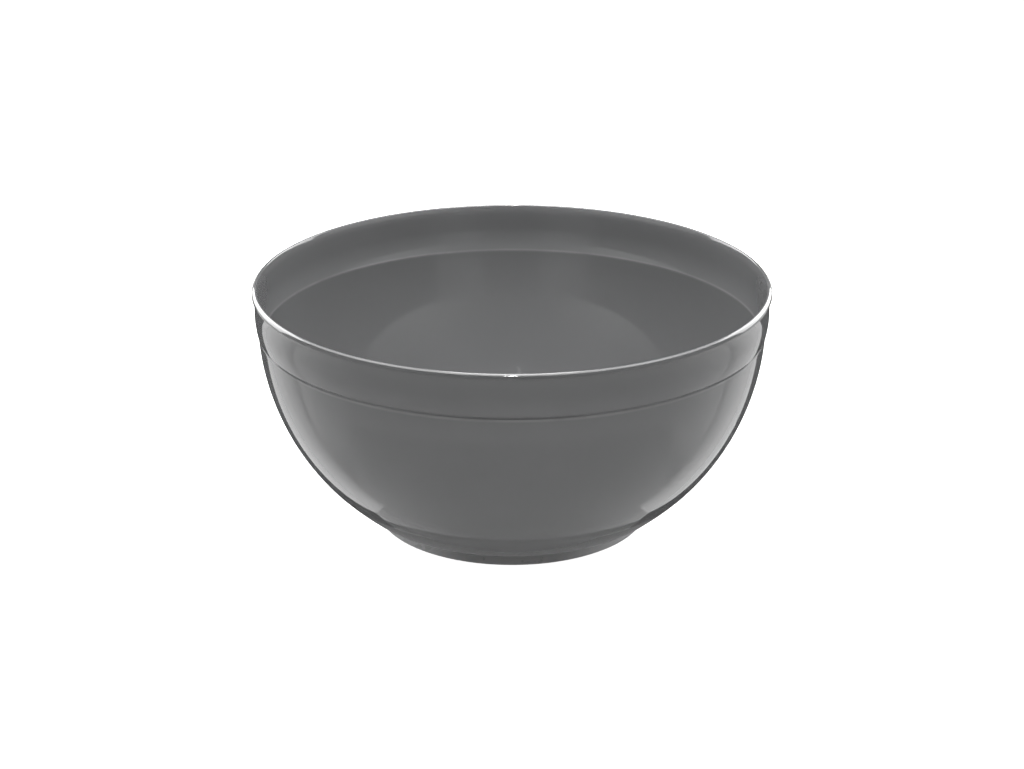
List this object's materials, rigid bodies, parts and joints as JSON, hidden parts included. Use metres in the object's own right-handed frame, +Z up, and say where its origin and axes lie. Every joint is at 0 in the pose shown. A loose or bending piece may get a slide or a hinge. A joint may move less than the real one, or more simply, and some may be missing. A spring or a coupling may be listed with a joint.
{
  "type": "serving bowl",
  "caption": "Deep round glossy plastic serving bowl with a thin rim lip, a creased collar and a non-slip foot ring.",
  "frame": {"origin": "middle of the foot ring's resting face", "axes": "+Z up along the bowl's axis; the bowl is the same all around, so +X and +Y are free"},
  "size_m": [0.28, 0.28, 0.134],
  "materials": {
    "bowl": "gloss",
    "foot": "satin"
  },
  "bodies": {
    "root": {"bowl_shell": "bowl", "foot_ring": "foot"}
  },
  "joints": []
}
